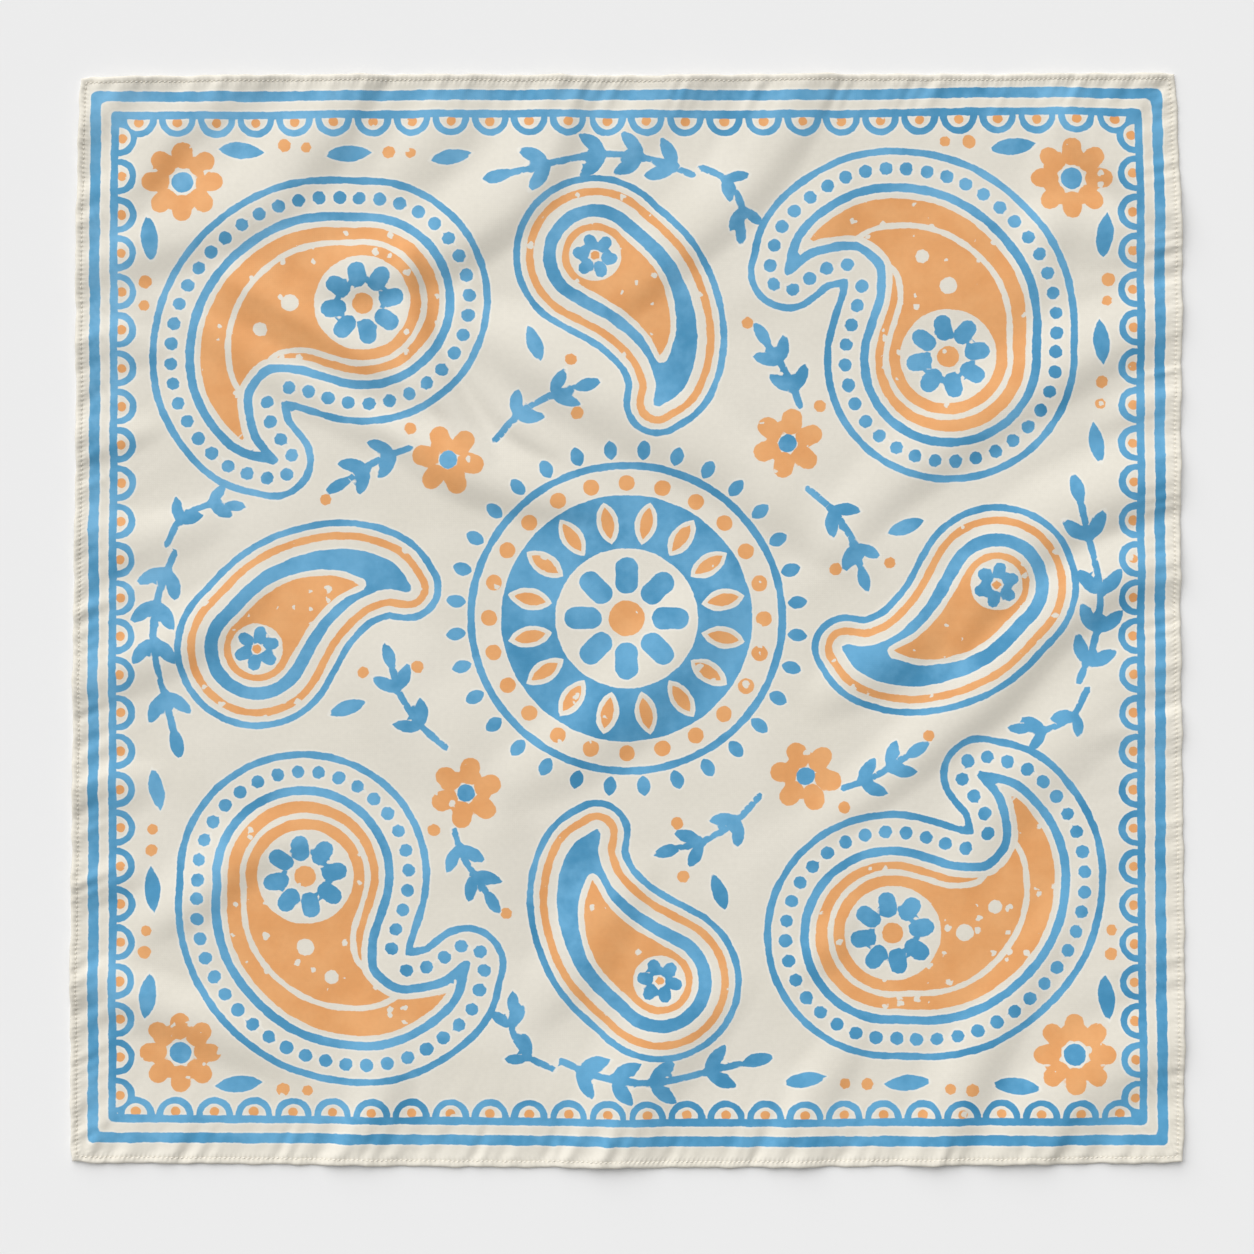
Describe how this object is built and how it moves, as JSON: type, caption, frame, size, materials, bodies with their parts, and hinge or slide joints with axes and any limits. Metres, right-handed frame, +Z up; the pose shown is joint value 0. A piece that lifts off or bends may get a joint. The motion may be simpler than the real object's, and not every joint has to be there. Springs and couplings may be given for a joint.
{
  "type": "bandana",
  "caption": "Square printed cotton bandana with a narrow rolled hem, lying nearly flat in soft, shallow folds, to fold or tie as a scarf.",
  "frame": {"origin": "middle of the cloth's outline, on the surface that it lies on", "axes": "+Z up off the surface, towards the printed face; +X to the right and +Y to the top of the cloth as it lies face up"},
  "size_m": [0.5648, 0.555, 0.0054],
  "materials": {
    "cotton": "fine, soft woven cotton with a light sheen, cream, printed in blue and orange"
  },
  "bodies": {
    "root": {"cloth": "cotton"}
  },
  "joints": []
}
